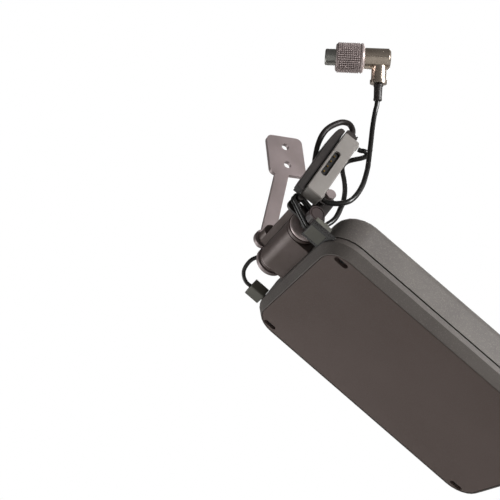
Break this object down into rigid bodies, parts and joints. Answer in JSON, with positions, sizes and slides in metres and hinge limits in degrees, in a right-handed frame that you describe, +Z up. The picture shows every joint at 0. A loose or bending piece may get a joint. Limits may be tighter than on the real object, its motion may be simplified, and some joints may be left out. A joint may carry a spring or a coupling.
{
  "type": "wireless receiver unit",
  "caption": "Flat wireless receiver unit hung from a tilting friction hinge on a flat arm, with a small adapter pod, power and data cables and a hanging host lead with an elbow plug.",
  "frame": {"origin": "centre of the arm's flat mounting face, midway between its two screw holes", "axes": "+X is the outward normal of the mounting face and runs along the hinge axis towards the lock knob; +Z is up the arm; +Y is the side the housing reaches out to, seen from the hinge"},
  "size_m": [0.1265, 0.1631, 0.2525],
  "materials": {
    "blacked": "black oxide",
    "shell": "fine textured powder coat",
    "bezel": "fine textured powder coat",
    "cover": "fine matte grain",
    "rubber": "satin",
    "anodised": "satin anodised",
    "clamp": "satin dark coat",
    "steel": "satin",
    "black": "satin moulded",
    "plug": "matte moulded",
    "pod": "fine satin moulded",
    "gold": "gold-plated",
    "brass": "worn nickel plate over brass",
    "board": "solder-resist laminate",
    "knob": "matte",
    "tin": "tinned"
  },
  "bodies": {
    "arm": {"arm": "anodised", "arm_bolt": "steel", "arm_washer": "steel", "tilt_yoke": "clamp", "friction_washer_far": "anodised", "friction_washer_near": "anodised"},
    "receiver": {"front_bezel": "bezel", "front_cover": "cover", "rear_shell": "shell", "cover_screw_1": "blacked", "cover_screw_2": "blacked", "cover_screw_3": "blacked", "cover_screw_4": "blacked", "seal_gasket": "rubber", "main_board": "board", "rf_shield_can": "tin", "heat_spreader": "steel", "antenna_patch_left": "plug", "antenna_patch_right": "plug", "board_screw_1": "steel", "board_screw_2": "steel", "board_screw_3": "steel", "board_screw_4": "steel", "power_socket": "tin", "data_socket": "tin", "power_plug": "plug", "data_plug": "plug", "clamp_barrel": "clamp", "clamp_screw_1": "steel", "clamp_screw_2": "steel", "clamp_screw_3": "steel", "clamp_screw_4": "steel", "hinge_rod": "anodised", "tilt_stud": "steel", "pod_case": "pod", "pod_cradle": "black", "pod_contact_block": "black", "pod_contact_1": "gold", "pod_contact_2": "gold", "pod_contact_3": "gold", "pod_contact_4": "gold", "pod_board": "board", "pod_top_gland": "black", "pod_bracket": "black", "cradle_thumb_screw": "anodised", "pod_tether_1": "rubber", "pod_tether_2": "rubber", "power_cable": "rubber", "power_cable_boot": "black", "data_cable": "rubber", "host_lead": "rubber", "plug_elbow": "brass", "plug_boot": "black", "plug_nose": "tin", "plug_insulator": "pod", "plug_contacts": "gold"},
    "lock_knob": {"tilt_lock_knob": "knob", "lock_knob_cap": "knob"},
    "coupling_nut": {"coupling_nut": "anodised"}
  },
  "joints": [
    {"name": "receiver_tilt", "type": "hinge", "parent": "arm", "child": "receiver", "pos_m": [0.0195, -0.0188, -0.078], "axis": [1, 0, 0], "range_deg": [-49, 38]},
    {"name": "lock_knob_turn", "type": "hinge", "parent": "receiver", "child": "lock_knob", "pos_m": [0.0615, -0.0188, -0.078], "axis": [1, 0, 0], "range_deg": [0, 180]},
    {"name": "nut_turn", "type": "hinge", "parent": "receiver", "child": "coupling_nut", "pos_m": [0.07473, 0.01212, 0.02614], "axis": [-0.3985, -0.9034, 0.1582], "continuous": true}
  ]
}
